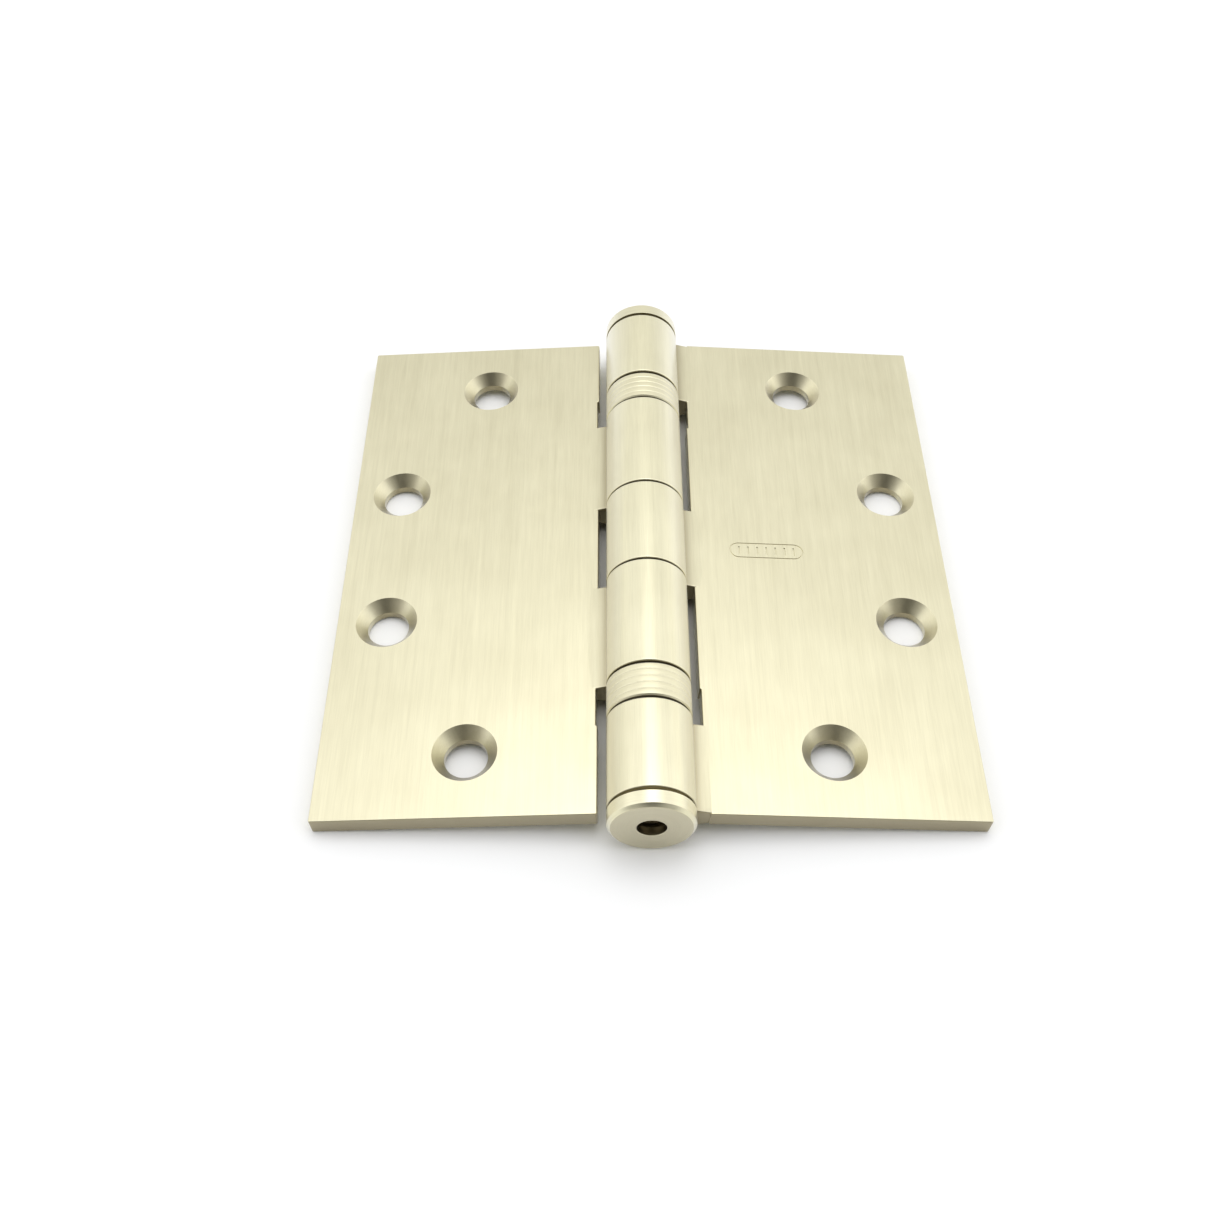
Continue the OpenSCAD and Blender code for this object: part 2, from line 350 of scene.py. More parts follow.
print("section of a knuckle:", len(knuckle_outline()), "points")

# %% [markdown]
# ## Countersunk holes
# A screw's head sits in a cone, so each hole is a straight drilling with a cone above it. The cutting
# shape is a lathe profile that also rounds off the edge where the cone meets the drilling.

# %% The cutting shape of a hole
HOLE_R = mounts["frame_leaf_inner_row"]["dims"]["hole_r_mm"] * MM
CONE_R = 5.67 * MM
CONE_HALF_ANGLE = math.radians(41)
CONE_DEPTH = (CONE_R - HOLE_R) / math.tan(CONE_HALF_ANGLE)
EDGE_BREAK = 0.12 * MM
PAST = 1 * MM


def hole_places():
    """Where the screw holes are, as u and v on a leaf."""
    places = []
    for row in ("frame_leaf_inner_row", "frame_leaf_outer_row"):
        u = (Vector(mounts[row]["pos_m"]) - AXIS).dot(Vector((math.cos(SLOPE), 0, -math.sin(SLOPE))))
        v = mounts[row]["dims"]["pcd_mm"] * MM / 2
        places += [(u, -v), (u, v)]
    return places


HOLES = hole_places()


def hole_cutter(side, u, v, segments=96):
    """The space that a countersunk hole takes out of the plate at u and v."""
    cone_foot = FACE_N - CONE_DEPTH
    profile = rounded([
        (0, BACK_N - PAST, 0),
        (HOLE_R + PAST, BACK_N - PAST, 0),
        (HOLE_R + PAST, BACK_N, 0),
        (HOLE_R, BACK_N, 0),
        (HOLE_R, cone_foot, EDGE_BREAK),
        (CONE_R, FACE_N, 0),
        (CONE_R + PAST, FACE_N, 0),
        (CONE_R + PAST, FACE_N + PAST, 0),
        (0, FACE_N + PAST, 0),
    ])
    loops = []
    for i in range(segments):
        angle = 2 * math.pi * i / segments
        out_u = math.cos(angle)
        out_v = math.sin(angle)
        loops.append([on_leaf(side, u + p.x * out_u, v + p.x * out_v, p.y) for p in profile])
    return skin("hole", loops, round_trip=True)


print("screw holes at", [(round(u / MM, 2), round(v / MM, 2)) for u, v in HOLES])

# %% [markdown]
# ## The stamped panel
# A maker's panel is struck into the face of the frame leaf. Here it is a plain outline with round ends
# and a row of plain bars. Each line is a shallow groove with sloping walls, cut like any other pocket.

# %% Cutting shapes of the stamped lines
PANEL_U = 23.1 * MM
PANEL_L = 14.2 * MM
PANEL_H = 3.75 * MM
LINE_W = 0.3 * MM
LINE_DEPTH = 0.12 * MM
LINE_DRAFT = 0.06 * MM
BAR_COUNT = 7


def line_section(inner, outer):
    """Across a groove: (place across, height), narrow at the bottom and flared past the face."""
    floor = FACE_N - LINE_DEPTH
    top = FACE_N + LINE_DEPTH
    flare = LINE_DRAFT
    return [(inner + flare, floor), (outer - flare, floor), (outer + flare, top), (inner - flare, top)]


def panel_outline_cutter(side, steps=16):
    """The groove of the outline: two straight runs and two half circles."""
    end_r = PANEL_H / 2
    straight = (PANEL_L - PANEL_H) / 2
    section = line_section(end_r - LINE_W, end_r)
    loops = []
    for end in (1, -1):
        for i in range(steps + 1):
            angle = math.pi * i / steps - math.pi / 2
            u = PANEL_U + end * straight
            out = Vector((end * math.cos(angle), end * math.sin(angle)))
            loops.append([on_leaf(side, u + r * out.x, r * out.y, n) for r, n in section])
    return skin("outline", loops, round_trip=True)


def bar_cutter(side, u):
    """The groove of one bar, with its ends square."""
    section = line_section(-LINE_W / 2, LINE_W / 2)
    ends = (-PANEL_H / 4, PANEL_H / 4)
    return skin("bar", [[on_leaf(side, u + x, v, n) for x, n in section] for v in ends])


BAR_STEP = (PANEL_L - PANEL_H) / (BAR_COUNT - 1)
BAR_PLACES = [PANEL_U + BAR_STEP * (i - (BAR_COUNT - 1) / 2) for i in range(BAR_COUNT)]
print("bars every", round(BAR_STEP / MM, 2), "mm")

# %% Make a whole leaf
ROOT_SCORE = 1.5 * MM
CONE_SLOT = 1
CONE_LEAN = math.cos(math.radians(8))


def mark_cones(piece, side):
    """Gives the cones their own finish, and keeps each point's distance from the nearest hole."""
    mesh = piece.data
    up = Vector((side * math.sin(SLOPE), 0, math.cos(SLOPE)))
    along = Vector((side * math.cos(SLOPE), 0, -math.sin(SLOPE)))
    centres = [Vector((u, v)) for u, v in HOLES]

    def from_hole(point):
        here = Vector(((point - AXIS).dot(along), point.y))
        return min((here - centre).length for centre in centres)

    distances = [from_hole(vertex.co) for vertex in mesh.vertices]
    kept = mesh.attributes.new("from_hole", "FLOAT", "POINT")
    kept.data.foreach_set("value", distances)
    cones = 0
    for face in mesh.polygons:
        near_hole = all(distances[i] < CONE_R + EDGE_BREAK for i in face.vertices)
        if near_hole and abs(face.normal.dot(up)) < CONE_LEAN:
            face.material_index = CONE_SLOT
            cones += 1
    print(piece.name, "machined faces:", cones)


def make_leaf(name, side, knuckles, ends_cut):
    """A whole leaf: the plate, its rolled knuckles and its screw holes."""
    leaf = plate(side, ends_cut)
    leaf.name = name
    rows = sorted({u for u, v in HOLES})
    scored(leaf, side, [STRIP_U + ROOT_SCORE, PANEL_U] + rows, [0] + sorted(v for u, v in HOLES))
    for start, end in knuckles:
        worked(leaf, knuckle(side, start, end), "UNION")
    for u, v in HOLES:
        worked(leaf, hole_cutter(side, u, v), "DIFFERENCE")
    return leaf


frame_leaf = make_leaf("rolled_frame_leaf", 1, FRAME_KNUCKLES, True)
door_leaf = make_leaf("rolled_door_leaf", -1, DOOR_KNUCKLES, False)
worked(frame_leaf, panel_outline_cutter(1), "DIFFERENCE")
for place in BAR_PLACES:
    worked(frame_leaf, bar_cutter(1, place), "DIFFERENCE")
mark_cones(frame_leaf, 1)
mark_cones(door_leaf, -1)
check_solid(frame_leaf)
check_solid(door_leaf)

# %% [markdown]
# ## The pin, its tip and the plug
# The pin is a ground steel rod with a nose at its lower end. A turned tip is staked to its top, and
# the bottom knuckle is closed by a turned plug with a hole for a punch. Both caps have a small groove
# beside the barrel and a chamfer round the face.

# %% Turn the pin and the two caps
PIN_R = BORE_R - PIN_PLAY
NOSE_R = 2.7 * MM
NOSE_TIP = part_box("hinge_pin")[0].y
NOSE_START = -51.6 * MM
NOSE_CHAMFER = 0.675 * MM
SHOULDER = 0.99 * MM
STUD_R = 2 * MM
STUD_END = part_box("hinge_pin")[1].y
PRESS_PLAY = 0.01 * MM
SPIGOT_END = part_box("bottom_plug")[1].y
PUNCH_R = mounts["punch_hole"]["dims"]["r_mm"] * MM
PUNCH_WALL = mounts["punch_hole"]["dims"]["length_mm"] * MM
NOSE_ROOM_R = 3 * MM
CAP_GROOVE = 0.9 * MM
GROOVE_END = BARREL_END + 0.6 * MM
CAP_CHAMFER = 0.6 * MM
SOFT = 0.16 * MM
FINE = 0.07 * MM

pin = turned("lift_out_pin", rounded([
    (0, NOSE_TIP, 0),
    (NOSE_R - NOSE_CHAMFER, NOSE_TIP, SOFT),
    (NOSE_R, NOSE_TIP + NOSE_CHAMFER, SOFT),
    (NOSE_R, NOSE_START, FINE),
    (PIN_R - SHOULDER, NOSE_START, SOFT),
    (PIN_R, NOSE_START + SHOULDER, SOFT),
    (PIN_R, BARREL_END, FINE),
    (STUD_R, BARREL_END, 0),
    (STUD_R, STUD_END, 0),
    (0, STUD_END, 0),
]))

tip = turned("turned_tip", rounded([
    (0, CAP_END, 0),
    (0, STUD_END, 0),
    (STUD_R + PRESS_PLAY, STUD_END, 0),
    (STUD_R + PRESS_PLAY, BARREL_END, 0),
    (BARREL_R - CAP_GROOVE, BARREL_END, 0),
    (BARREL_R - CAP_GROOVE, GROOVE_END, FINE),
    (BARREL_R, GROOVE_END, FINE),
    (BARREL_R, CAP_END - CAP_CHAMFER, SOFT),
    (BARREL_R - CAP_CHAMFER, CAP_END, SOFT),
]))

plug = turned("turned_plug", rounded([
    (PUNCH_R, -CAP_END, FINE),
    (PUNCH_R, PUNCH_WALL - CAP_END, FINE),
    (NOSE_ROOM_R, PUNCH_WALL - CAP_END, 0),
    (NOSE_ROOM_R, SPIGOT_END, FINE),
    (BORE_R - PRESS_PLAY, SPIGOT_END, FINE),
    (BORE_R - PRESS_PLAY, -BARREL_END, 0),
    (BARREL_R - CAP_GROOVE, -BARREL_END, 0),
    (BARREL_R - CAP_GROOVE, -GROOVE_END, FINE),
    (BARREL_R, -GROOVE_END, FINE),
    (BARREL_R, CAP_CHAMFER - CAP_END, SOFT),
    (BARREL_R - CAP_CHAMFER, -CAP_END, SOFT),
]))
for piece in (pin, tip, plug):
    check_solid(piece)

# %% [markdown]
# ## The bearing cases
# Each ball bearing hides in a thin turned sleeve that stays with the frame leaf. Its outside carries a
# few fine rings. The grooves are real, so they catch the light as the hinge turns.

# %% Turn the two cases
CASE_WALL = 0.6 * MM
CASE_EDGE = 0.25 * MM
RING_COUNT = 4
RING_DEPTH = 0.08 * MM
RING_W = 0.3 * MM
RING_BOTTOM = 0.05 * MM
RACE_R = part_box("upper_frame_race")[1].x
BALL_Y = (END_START + DOOR_END) / 2


def bearing_case(name, mirrored):
    """A sleeve with ring grooves, drawn for the upper bearing and mirrored for the lower one."""
    step = (CASE_END - CASE_START) / (RING_COUNT + 1)
    corners = [(RACE_R + PRESS_PLAY, CASE_END, FINE), (RACE_R + PRESS_PLAY, BALL_Y, 0)]
    corners += [(BARREL_R - CASE_WALL, BALL_Y, 0), (BARREL_R - CASE_WALL, CASE_START, FINE)]
    corners += [(BARREL_R - CASE_EDGE, CASE_START, FINE), (BARREL_R, CASE_START + CASE_EDGE, FINE)]
    for i in range(RING_COUNT):
        middle = CASE_START + (i + 1) * step
        corners += [(BARREL_R, middle - RING_W / 2, FINE), (BARREL_R - RING_DEPTH, middle, RING_BOTTOM)]
        corners += [(BARREL_R, middle + RING_W / 2, FINE)]
    corners += [(BARREL_R, CASE_END - CASE_EDGE, FINE), (BARREL_R - CASE_EDGE, CASE_END, FINE)]
    if mirrored:
        corners = [(r, -y, radius) for r, y, radius in reversed(corners)]
    return turned(name, rounded(corners, steps=3))


upper_case = bearing_case("upper_ringed_case", False)
lower_case = bearing_case("lower_ringed_case", True)
check_solid(upper_case)
check_solid(lower_case)

# %% Set every piece on the body that carries it
PIECES = [
    (frame_leaf, "frame_side", "frame_leaf", "leaf_nickel"),
    (door_leaf, "door_side", "door_leaf", "leaf_nickel"),
    (plug, "frame_side", "bottom_plug", "turned_nickel"),
    (tip, "pin", "pin_tip", "turned_nickel"),
    (pin, "pin", "hinge_pin", "pin_steel"),
    (upper_case, "frame_side", "upper_bearing_case", "bearing_nickel"),
    (lower_case, "frame_side", "lower_bearing_case", "bearing_nickel"),
]
for piece, body, node, slot in PIECES:
    shaded(piece)
    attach(piece, body)
    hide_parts(node)
    print(piece.name, "rides on", body)

# %% [markdown]
# ## Building materials from nodes
# A few helpers keep the materials readable. They add a node and feed its sockets, start, end and place
# a named group that several materials can share, and do one step of arithmetic at a time.

# %% Node helpers
def add(tree, kind, inputs=None, **settings):
    """Adds a shader node. inputs gives each socket a value, or the output that feeds it."""
    made = tree.nodes.new("ShaderNode" + kind)
    for name, value in settings.items():
        setattr(made, name, value)
    for name, value in (inputs or {}).items():
        if isinstance(value, bpy.types.NodeSocket):
            tree.links.new(value, made.inputs[name])
        else:
            made.inputs[name].default_value = value
    return made


def start_group(name, inputs):
    """A node group with these named numbers going in. Returns its tree and the outputs of its Input."""
    tree = bpy.data.node_groups.new(name, "ShaderNodeTree")
    for label, value in inputs.items():
        socket = tree.interface.new_socket(label, in_out="INPUT", socket_type="NodeSocketFloat")
        socket.default_value = value
    return tree, tree.nodes.new("NodeGroupInput").outputs


def end_group(tree, outputs):
    """Names what the group puts out."""
    for label in outputs:
        tree.interface.new_socket(label, in_out="OUTPUT", socket_type="NodeSocketFloat")
    last = tree.nodes.new("NodeGroupOutput")
    for label, socket in outputs.items():
        tree.links.new(socket, last.inputs[label])
    print("group", tree.name, "puts out", list(outputs))
    return tree


def use(tree, group, **values):
    """Places a group in a material with its own values. Spaces in socket names are written as _."""
    made = tree.nodes.new("ShaderNodeGroup")
    made.node_tree = group
    for label, value in values.items():
        made.inputs[label.replace("_", " ")].default_value = value
    return made.outputs


def remap(tree, value, low, high, from_low=0.0, from_high=1.0):
    """Stretches a value from one span to another and keeps it inside."""
    ends = {"Value": value, "From Min": from_low, "From Max": from_high, "To Min": low, "To Max": high}
    return add(tree, "MapRange", ends).outputs["Result"]


def maths(tree, operation, a, b=0.0):
    """One step of arithmetic on two values, or on one. Either may be a number or an output."""
    made = add(tree, "Math", operation=operation)
    for socket, value in zip(made.inputs, (a, b)):
        if isinstance(value, bpy.types.NodeSocket):
            tree.links.new(value, socket)
        else:
            socket.default_value = value
    return made.outputs["Value"]


# %% [markdown]
# ## Brushed grain
# The plate is brushed along the pin before it is plated. Brushing leaves fine, short streaks, and the
# plating over them is never perfectly even. A noise that is squeezed across the streaks and stretched
# along them gives the streaks, and it wraps round the knuckles too, because it fills space.

# %% Group: brushed grain
def brushed_grain():
    """Grain is the streaks as a value from 0 to 1."""
    sizes = {"Streak Width": 0.2 * MM, "Streak Length": 6 * MM, "Seed": 0.0}
    tree, given = start_group("Brushed grain", sizes)
    place = add(tree, "TexCoord").outputs["Object"]
    parts = add(tree, "SeparateXYZ", {"Vector": place}).outputs
    across = maths(tree, "DIVIDE", parts["X"], given["Streak Width"])
    along = maths(tree, "DIVIDE", parts["Y"], given["Streak Length"])
    deep = maths(tree, "DIVIDE", parts["Z"], given["Streak Width"])
    stretched = add(tree, "CombineXYZ", {"X": across, "Y": along, "Z": deep}).outputs["Vector"]
    fine = add(tree, "TexNoise", {"Vector": stretched, "W": given["Seed"], "Scale": 1.0, "Detail": 3.0,
                                  "Roughness": 0.65}, noise_dimensions="4D").outputs["Fac"]
    wide = add(tree, "TexNoise", {"Vector": stretched, "W": given["Seed"], "Scale": 0.22, "Detail": 2.0,
                                  "Roughness": 0.5}, noise_dimensions="4D").outputs["Fac"]
    both = maths(tree, "ADD", maths(tree, "MULTIPLY", fine, 0.6), maths(tree, "MULTIPLY", wide, 0.4))
    grain = remap(tree, both, 0.0, 1.0, 0.3, 0.7)
    return end_group(tree, {"Grain": grain})


BRUSHED_GRAIN = brushed_grain()

# %% [markdown]
# ## Turned rings
# A lathe leaves fine rings round the pin's axis. On a cylinder they run round it, and on a flat face
# they are circles. Both are stripes in a noise of the two distances that a lathe knows: how far out,
# and how far along.

# %% Group: turned rings
CHATTER = 120.0


def turned_rings():
    """Rings are the tool marks, Faced marks flat ends and Bored marks grooves and bores."""
    tree, given = start_group("Turned rings", {"Ring Width": 0.1 * MM, "Seed": 0.0})
    place = add(tree, "TexCoord").outputs["Object"]
    centred = add(tree, "VectorMath", operation="SUBTRACT")
    tree.links.new(place, centred.inputs[0])
    centred.inputs[1].default_value = AXIS
    parts = add(tree, "SeparateXYZ", {"Vector": centred.outputs["Vector"]}).outputs
    square = maths(tree, "ADD", maths(tree, "MULTIPLY", parts["X"], parts["X"]),
                   maths(tree, "MULTIPLY", parts["Z"], parts["Z"]))
    out = maths(tree, "SQRT", square)
    rings_out = maths(tree, "DIVIDE", out, given["Ring Width"])
    rings_along = maths(tree, "DIVIDE", parts["Y"], given["Ring Width"])
    round_it = maths(tree, "MULTIPLY", maths(tree, "ADD", parts["X"], parts["Z"]), CHATTER)
    lathe = add(tree, "CombineXYZ", {"X": rings_out, "Y": rings_along, "Z": round_it}).outputs["Vector"]
    rings = add(tree, "TexNoise", {"Vector": lathe, "W": given["Seed"], "Scale": 1.0, "Detail": 2.0,
                                   "Roughness": 0.6}, noise_dimensions="4D").outputs["Fac"]
    normal = add(tree, "NewGeometry").outputs["Normal"]
    facing = add(tree, "SeparateXYZ", {"Vector": normal}).outputs["Y"]
    faced = remap(tree, maths(tree, "ABSOLUTE", facing), 0.0, 1.0, 0.8, 0.95)
    inside = remap(tree, out, 1.0, 0.0, BARREL_R - 0.6 * MM, BARREL_R - 0.3 * MM)
    round_wall = remap(tree, maths(tree, "ABSOLUTE", facing), 1.0, 0.0, 0.2, 0.5)
    bored = maths(tree, "MULTIPLY", inside, round_wall)
    marks = remap(tree, rings, 0.0, 1.0, 0.3, 0.7)
    return end_group(tree, {"Rings": marks, "Faced": faced, "Bored": bored})


TURNED_RINGS = turned_rings()

# %% [markdown]
# ## Uneven plating and handling
# Plated metal is a little cloudy, and fingers leave faint dull patches on it. Two soft noises of
# different sizes give both, as values that a material can turn into tone or roughness.

# %% Group: plating clouds
def plating_clouds():
    """Clouds are broad and soft, and Smears are smaller and more broken up."""
    tree, given = start_group("Plating clouds", {"Cloud Size": 14 * MM, "Seed": 0.0})
    place = add(tree, "TexCoord").outputs["Object"]
    size = maths(tree, "DIVIDE", 1.0, given["Cloud Size"])
    clouds = add(tree, "TexNoise", {"Vector": place, "W": given["Seed"], "Scale": size, "Detail": 2.0},
                 noise_dimensions="4D").outputs["Fac"]
    smear_size = maths(tree, "MULTIPLY", size, 3.0)
    blotches = {"Vector": place, "W": given["Seed"], "Scale": smear_size, "Detail": 4.0}
    blotches["Distortion"] = 1.5
    smears = add(tree, "TexNoise", blotches, noise_dimensions="4D").outputs["Fac"]
    return end_group(tree, {"Clouds": remap(tree, clouds, 0.0, 1.0, 0.3, 0.7),
                            "Smears": remap(tree, smears, 0.0, 1.0, 0.5, 0.75)})


PLATING_CLOUDS = plating_clouds()

# %% [markdown]
# ## Rubbed edges
# Edges are handled and knocked most, so the plating there is rubbed smoother and brighter. A Bevel
# node bends the normal only near an edge, and the difference from the true normal marks the edge.

# %% Group: rubbed edges
def rubbed_edges():
    """Edges is 1 on an edge that hands and tools rub, and 0 on a flat face."""
    tree, given = start_group("Rubbed edges", {"Edge Width": 0.4 * MM})
    bent = add(tree, "Bevel", {"Radius": given["Edge Width"]}, samples=4).outputs["Normal"]
    true = add(tree, "NewGeometry").outputs["Normal"]
    same = add(tree, "VectorMath", operation="DOT_PRODUCT")
    tree.links.new(bent, same.inputs[0])
    tree.links.new(true, same.inputs[1])
    return end_group(tree, {"Edges": remap(tree, same.outputs["Value"], 1.0, 0.0, 0.86, 0.995)})


RUBBED_EDGES = rubbed_edges()

# %% [markdown]
# ## Where the tint changes along a leaf
# One sheet of metal doesn't look the same all over. The flat plate is tinted a little darker than the
# rolled knuckles. Painted shade darkens the crease in the root beside the barrel, and painted shade
# darkens the plate's ends, which face along the pin. Three masks tell these places apart by distance
# from the pin and by direction.

# %% Group: places on a leaf
def leaf_places():
    """Knuckle is 1 on the rolled barrel, Root is painted shade in the crease beside the roll's seam, and the third
    mask is painted shade on faces that look along the pin.
    """
    tree, given = start_group("Places on a leaf", {"Root Width": 2.5 * MM})
    place = add(tree, "TexCoord").outputs["Object"]
    centred = add(tree, "VectorMath", operation="SUBTRACT")
    tree.links.new(place, centred.inputs[0])
    centred.inputs[1].default_value = AXIS
    flat = add(tree, "VectorMath", operation="MULTIPLY")
    tree.links.new(centred.outputs["Vector"], flat.inputs[0])
    flat.inputs[1].default_value = (1.0, 0.0, 1.0)
    out = add(tree, "VectorMath", operation="LENGTH")
    tree.links.new(flat.outputs["Vector"], out.inputs[0])
    distance = out.outputs["Value"]
    knuckle_mask = remap(tree, distance, 1.0, 0.0, BARREL_R + 0.05 * MM, BARREL_R + 0.3 * MM)
    sides = add(tree, "SeparateXYZ", {"Vector": flat.outputs["Vector"]}).outputs
    seam_offset = maths(tree, "SUBTRACT", maths(tree, "ABSOLUTE", sides["X"]), BARREL_R)
    seam_height = maths(tree, "SUBTRACT", sides["Z"], SEAM_N)
    square = maths(tree, "ADD", maths(tree, "MULTIPLY", seam_offset, seam_offset),
                   maths(tree, "MULTIPLY", seam_height, seam_height))
    from_seam = maths(tree, "SQRT", square)
    # Root is painted shade: it darkens the crease between plate and barrel, most near the seam.
    near_root = remap(tree, from_seam, 1.0, 0.0, 0.0, given["Root Width"])
    root_crease_shade = maths(tree, "MULTIPLY", near_root, near_root)
    normal = add(tree, "NewGeometry").outputs["Normal"]
    facing = add(tree, "SeparateXYZ", {"Vector": normal}).outputs["Y"]
    # Painted shade: faces that look along the pin, the plate's ends, are darkened.
    end_shade = remap(tree, maths(tree, "ABSOLUTE", facing), 0.0, 1.0, 0.5, 0.9)
    return end_group(tree, {"Knuckle": knuckle_mask, "Root": root_crease_shade, "End Shade": end_shade})


LEAF_PLACES = leaf_places()

# %% [markdown]
# ## Satin nickel and bare steel
# All the finishes are metals, so they differ in tint, in the marks left by their tools and in how
# sharp their reflections are. One recipe mixes a darker and a lighter tint by the tool marks and the
# clouds, lifts the edges, and sets roughness and bump from the same marks. The clear lacquer over the
# nickel adds reflections of its own, so the metal looks a little paler at a low angle. A Layer Weight
# node stands for that. It follows the viewer as gloss does, so colours baked for export don't hold it.

# %% A metal finish
def mix_tint(tree, share, low, high):
    """A colour between two others, by a value or by the output that gives it."""
    mixed = add(tree, "Mix", {"Factor": share}, data_type="RGBA")
    for socket, colour in zip(mixed.inputs[6:8], (low, high)):
        if isinstance(colour, bpy.types.NodeSocket):
            tree.links.new(colour, socket)
        else:
            socket.default_value = (*colour, 1.0)
    return mixed.outputs[2]


def start_material(name):
    """A new material, with its node tree and its main shader."""
    material = bpy.data.materials.new(name)
    material.use_nodes = True
    return material, material.node_tree, material.node_tree.nodes["Principled BSDF"]


def finish_metal(tree, shader, marks, dark, light, rough, depth, seed, cloud_share=0.35, shade=1.0,
                 lacquer=0.8):
    """Tint, roughness and bump of a metal whose tool marks are given as a value from 0 to 1."""
    clouds = use(tree, PLATING_CLOUDS, Seed=seed)
    edges = use(tree, RUBBED_EDGES)["Edges"]
    tone = maths(tree, "ADD", maths(tree, "MULTIPLY", marks, 1 - cloud_share),
                 maths(tree, "MULTIPLY", clouds["Clouds"], cloud_share))
    worn = maths(tree, "MULTIPLY", edges, 0.5)
    lifted = tuple(min(1.0, channel * 1.06) for channel in light)
    tint = mix_tint(tree, worn, mix_tint(tree, tone, dark, light), lifted)
    facing = add(tree, "LayerWeight", {"Blend": 0.5}).outputs["Facing"]
    tint = mix_tint(tree, remap(tree, facing, 0.0, lacquer, 0.36, 0.8), tint, LACQUER)
    # Where shade is below 1 the tint is darkened towards a warm dark colour: that is painted shade.
    tint = mix_tint(tree, shade, PAINTED_SHADE_TINT, tint)
    tree.links.new(tint, shader.inputs["Base Color"])
    spread = remap(tree, marks, rough - 0.03, rough + 0.03)
    hazed = maths(tree, "ADD", spread, maths(tree, "MULTIPLY", clouds["Smears"], 0.05))
    tree.links.new(maths(tree, "SUBTRACT", hazed, maths(tree, "MULTIPLY", edges, 0.06)),
                   shader.inputs["Roughness"])
    bump = add(tree, "Bump", {"Height": marks, "Distance": depth, "Strength": 1.0})
    tree.links.new(bump.outputs["Normal"], shader.inputs["Normal"])
    shader.inputs["Metallic"].default_value = 1.0


NICKEL_DARK = (0.69, 0.65, 0.445)
NICKEL_LIGHT = (0.86, 0.82, 0.585)
# The warm dark colour that painted shade mixes towards.
PAINTED_SHADE_TINT = (0.15, 0.105, 0.04)
PLATE_SHADE = 0.87
ROOT_SHADE = 0.7
END_SHADE = 0.6
FACED_SHADE = 0.36
BORED_SHADE = 0.35
DRILLED_SHADE = 0.1
LACQUER = (0.84, 0.82, 0.74)
CASE_SHADE = 0.92
LEAF_ROUGH = 0.36
CONE_ROUGH = 0.16
CAP_ROUGH = 0.3
CASE_ROUGH = 0.45
MICRON = 0.001 * MM
TOOL_MARKS = 4 * MICRON


def leaf_nickel():
    """Brushed nickel for a leaf, tinted darker on its plate than on its knuckles, with painted shade in its root
    crease and on its ends.
    """
    material, tree, shader = start_material("satin_nickel_brushed")
    grain = use(tree, BRUSHED_GRAIN, Streak_Width=0.2 * MM, Streak_Length=7 * MM)
    places = use(tree, LEAF_PLACES)
    # The flat plate is tinted PLATE_SHADE times as bright as the knuckles. Painted shade darkens the root crease
    # and the ends.
    shade = remap(tree, places["Knuckle"], PLATE_SHADE, 1.0)
    for mask, loss in ((places["Root"], ROOT_SHADE), (places["End Shade"], END_SHADE)):
        shade = maths(tree, "MULTIPLY", shade, remap(tree, mask, 1.0, 1.0 - loss))
    finish_metal(tree, shader, grain["Grain"], NICKEL_DARK, NICKEL_LIGHT, LEAF_ROUGH, TOOL_MARKS,
                 seed=1.0, shade=shade)
    return material


def turned_nickel(name, ring_width, rough, depth, seed, shade=1.0):
    """Nickel over lathe rings, with painted shade on faces that look along the pin and in grooves and bores."""
    material, tree, shader = start_material(name)
    turning = use(tree, TURNED_RINGS, Ring_Width=ring_width, Seed=seed)
    # Painted shade: faces that look along the pin and the walls of grooves and bores are darkened, and shade
    # darkens the whole piece.
    painted_shade = remap(tree, turning["Faced"], shade, shade * (1.0 - FACED_SHADE))
    painted_shade = maths(tree, "MULTIPLY", painted_shade, remap(tree, turning["Bored"], 1.0, BORED_SHADE))
    finish_metal(tree, shader, turning["Rings"], NICKEL_DARK, NICKEL_LIGHT, rough, depth, seed,
                 shade=painted_shade)
    return material


def machined_cone():
    """The countersink's rings run round the hole, so they come from the distance kept on the mesh."""
    material, tree, shader = start_material("satin_nickel_countersink")
    far = add(tree, "Attribute", attribute_name="from_hole").outputs["Fac"]
    ring = maths(tree, "DIVIDE", far, 0.09 * MM)
    rings = add(tree, "TexNoise", {"W": ring, "Scale": 1.0, "Detail": 1.0}, noise_dimensions="1D")
    marks = remap(tree, rings.outputs["Fac"], 0.0, 1.0, 0.3, 0.7)
    # Painted shade: the straight drilled wall is darkened almost to black.
    drilled_wall_shade = remap(tree, far, DRILLED_SHADE, 1.0, HOLE_R + 0.04 * MM, HOLE_R + 0.25 * MM)
    finish_metal(tree, shader, marks, NICKEL_DARK, NICKEL_LIGHT, CONE_ROUGH, 3 * MICRON, seed=4.0,
                 shade=drilled_wall_shade)
    return material


def ground_steel(name, dark, light, rough, ring_width, seed):
    """Bare steel with fine grinding rings."""
    material, tree, shader = start_material(name)
    rings = use(tree, TURNED_RINGS, Ring_Width=ring_width, Seed=seed)["Rings"]
    finish_metal(tree, shader, rings, dark, light, rough, 2 * MICRON, seed, cloud_share=0.6,
                 lacquer=0.0)
    return material


LEAF_NICKEL = leaf_nickel()
CONE_NICKEL = machined_cone()
CAP_NICKEL = turned_nickel("satin_nickel_turned", 0.12 * MM, CAP_ROUGH, TOOL_MARKS, 2.0)
